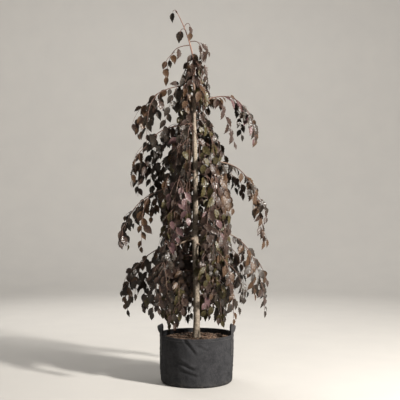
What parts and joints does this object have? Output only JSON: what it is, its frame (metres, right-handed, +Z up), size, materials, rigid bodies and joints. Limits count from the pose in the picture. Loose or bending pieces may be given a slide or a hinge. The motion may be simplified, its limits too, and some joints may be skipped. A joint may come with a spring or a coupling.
{
  "type": "weeping copper beech tree in a fabric grow bag",
  "caption": "Young weeping copper beech with a slim trunk and hanging shoots of dark purple leaves, growing in a black fabric grow bag with strap handles.",
  "frame": {"origin": "middle of the flat underside of the grow bag", "axes": "+Z up along the trunk; -Y is the front, the side that the picture shows; +X is its right"},
  "size_m": [1.0419, 0.8631, 2.555],
  "materials": {
    "felt": "black needle-felt, matt, a little hairy and creased",
    "webbing": "black woven webbing, matt",
    "compost": "loose brown bark chips and compost, damp and matt",
    "bark": "smooth pale grey-brown beech bark with fine rings and pores",
    "bough_bark": "smooth reddish-brown young bark",
    "copper_leaf": "dark purple-brown leaves with a soft gloss and bronze-green inner leaves"
  },
  "bodies": {
    "root": {"bough_front_left": "bough_bark", "bough_front_right": "bough_bark", "bough_lower_back": "bough_bark", "bough_lower_left": "bough_bark", "bough_middle_back_left": "bough_bark", "bough_middle_back_right": "bough_bark", "bough_middle_left": "bough_bark", "bough_middle_right": "bough_bark", "bough_skirt_back_left": "bough_bark", "bough_skirt_back_right": "bough_bark", "bough_skirt_front_left": "bough_bark", "bough_skirt_front_right": "bough_bark", "bough_skirt_left": "bough_bark", "bough_skirt_right": "bough_bark", "bough_upper_back": "bough_bark", "bough_upper_left": "bough_bark", "bough_upper_right": "bough_bark", "compost": "compost", "foliage_front_left": "copper_leaf", "foliage_front_right": "copper_leaf", "foliage_hem_1": "copper_leaf", "foliage_hem_2": "copper_leaf", "foliage_hem_3": "copper_leaf", "foliage_high_1": "copper_leaf", "foliage_high_2": "copper_leaf", "foliage_high_3": "copper_leaf", "foliage_leader_left": "copper_leaf", "foliage_leader_right": "copper_leaf", "foliage_leader_tip": "copper_leaf", "foliage_low_1": "copper_leaf", "foliage_low_2": "copper_leaf", "foliage_low_3": "copper_leaf", "foliage_lower_back": "copper_leaf", "foliage_lower_left": "copper_leaf", "foliage_mid_1": "copper_leaf", "foliage_mid_2": "copper_leaf", "foliage_mid_3": "copper_leaf", "foliage_middle_back_left": "copper_leaf", "foliage_middle_back_right": "copper_leaf", "foliage_middle_left": "copper_leaf", "foliage_middle_right": "copper_leaf", "foliage_neck_1": "copper_leaf", "foliage_neck_2": "copper_leaf", "foliage_skirt_back_left": "copper_leaf", "foliage_skirt_back_right": "copper_leaf", "foliage_skirt_front_left": "copper_leaf", "foliage_skirt_front_right": "copper_leaf", "foliage_skirt_left": "copper_leaf", "foliage_skirt_right": "copper_leaf", "foliage_top_back": "copper_leaf", "foliage_top_front": "copper_leaf", "foliage_top_left": "copper_leaf", "foliage_top_right": "copper_leaf", "foliage_upper_back": "copper_leaf", "foliage_upper_left": "copper_leaf", "foliage_upper_right": "copper_leaf", "grow_bag": "felt", "handle_left": "webbing", "handle_right": "webbing", "trunk": "bark"}
  },
  "joints": []
}
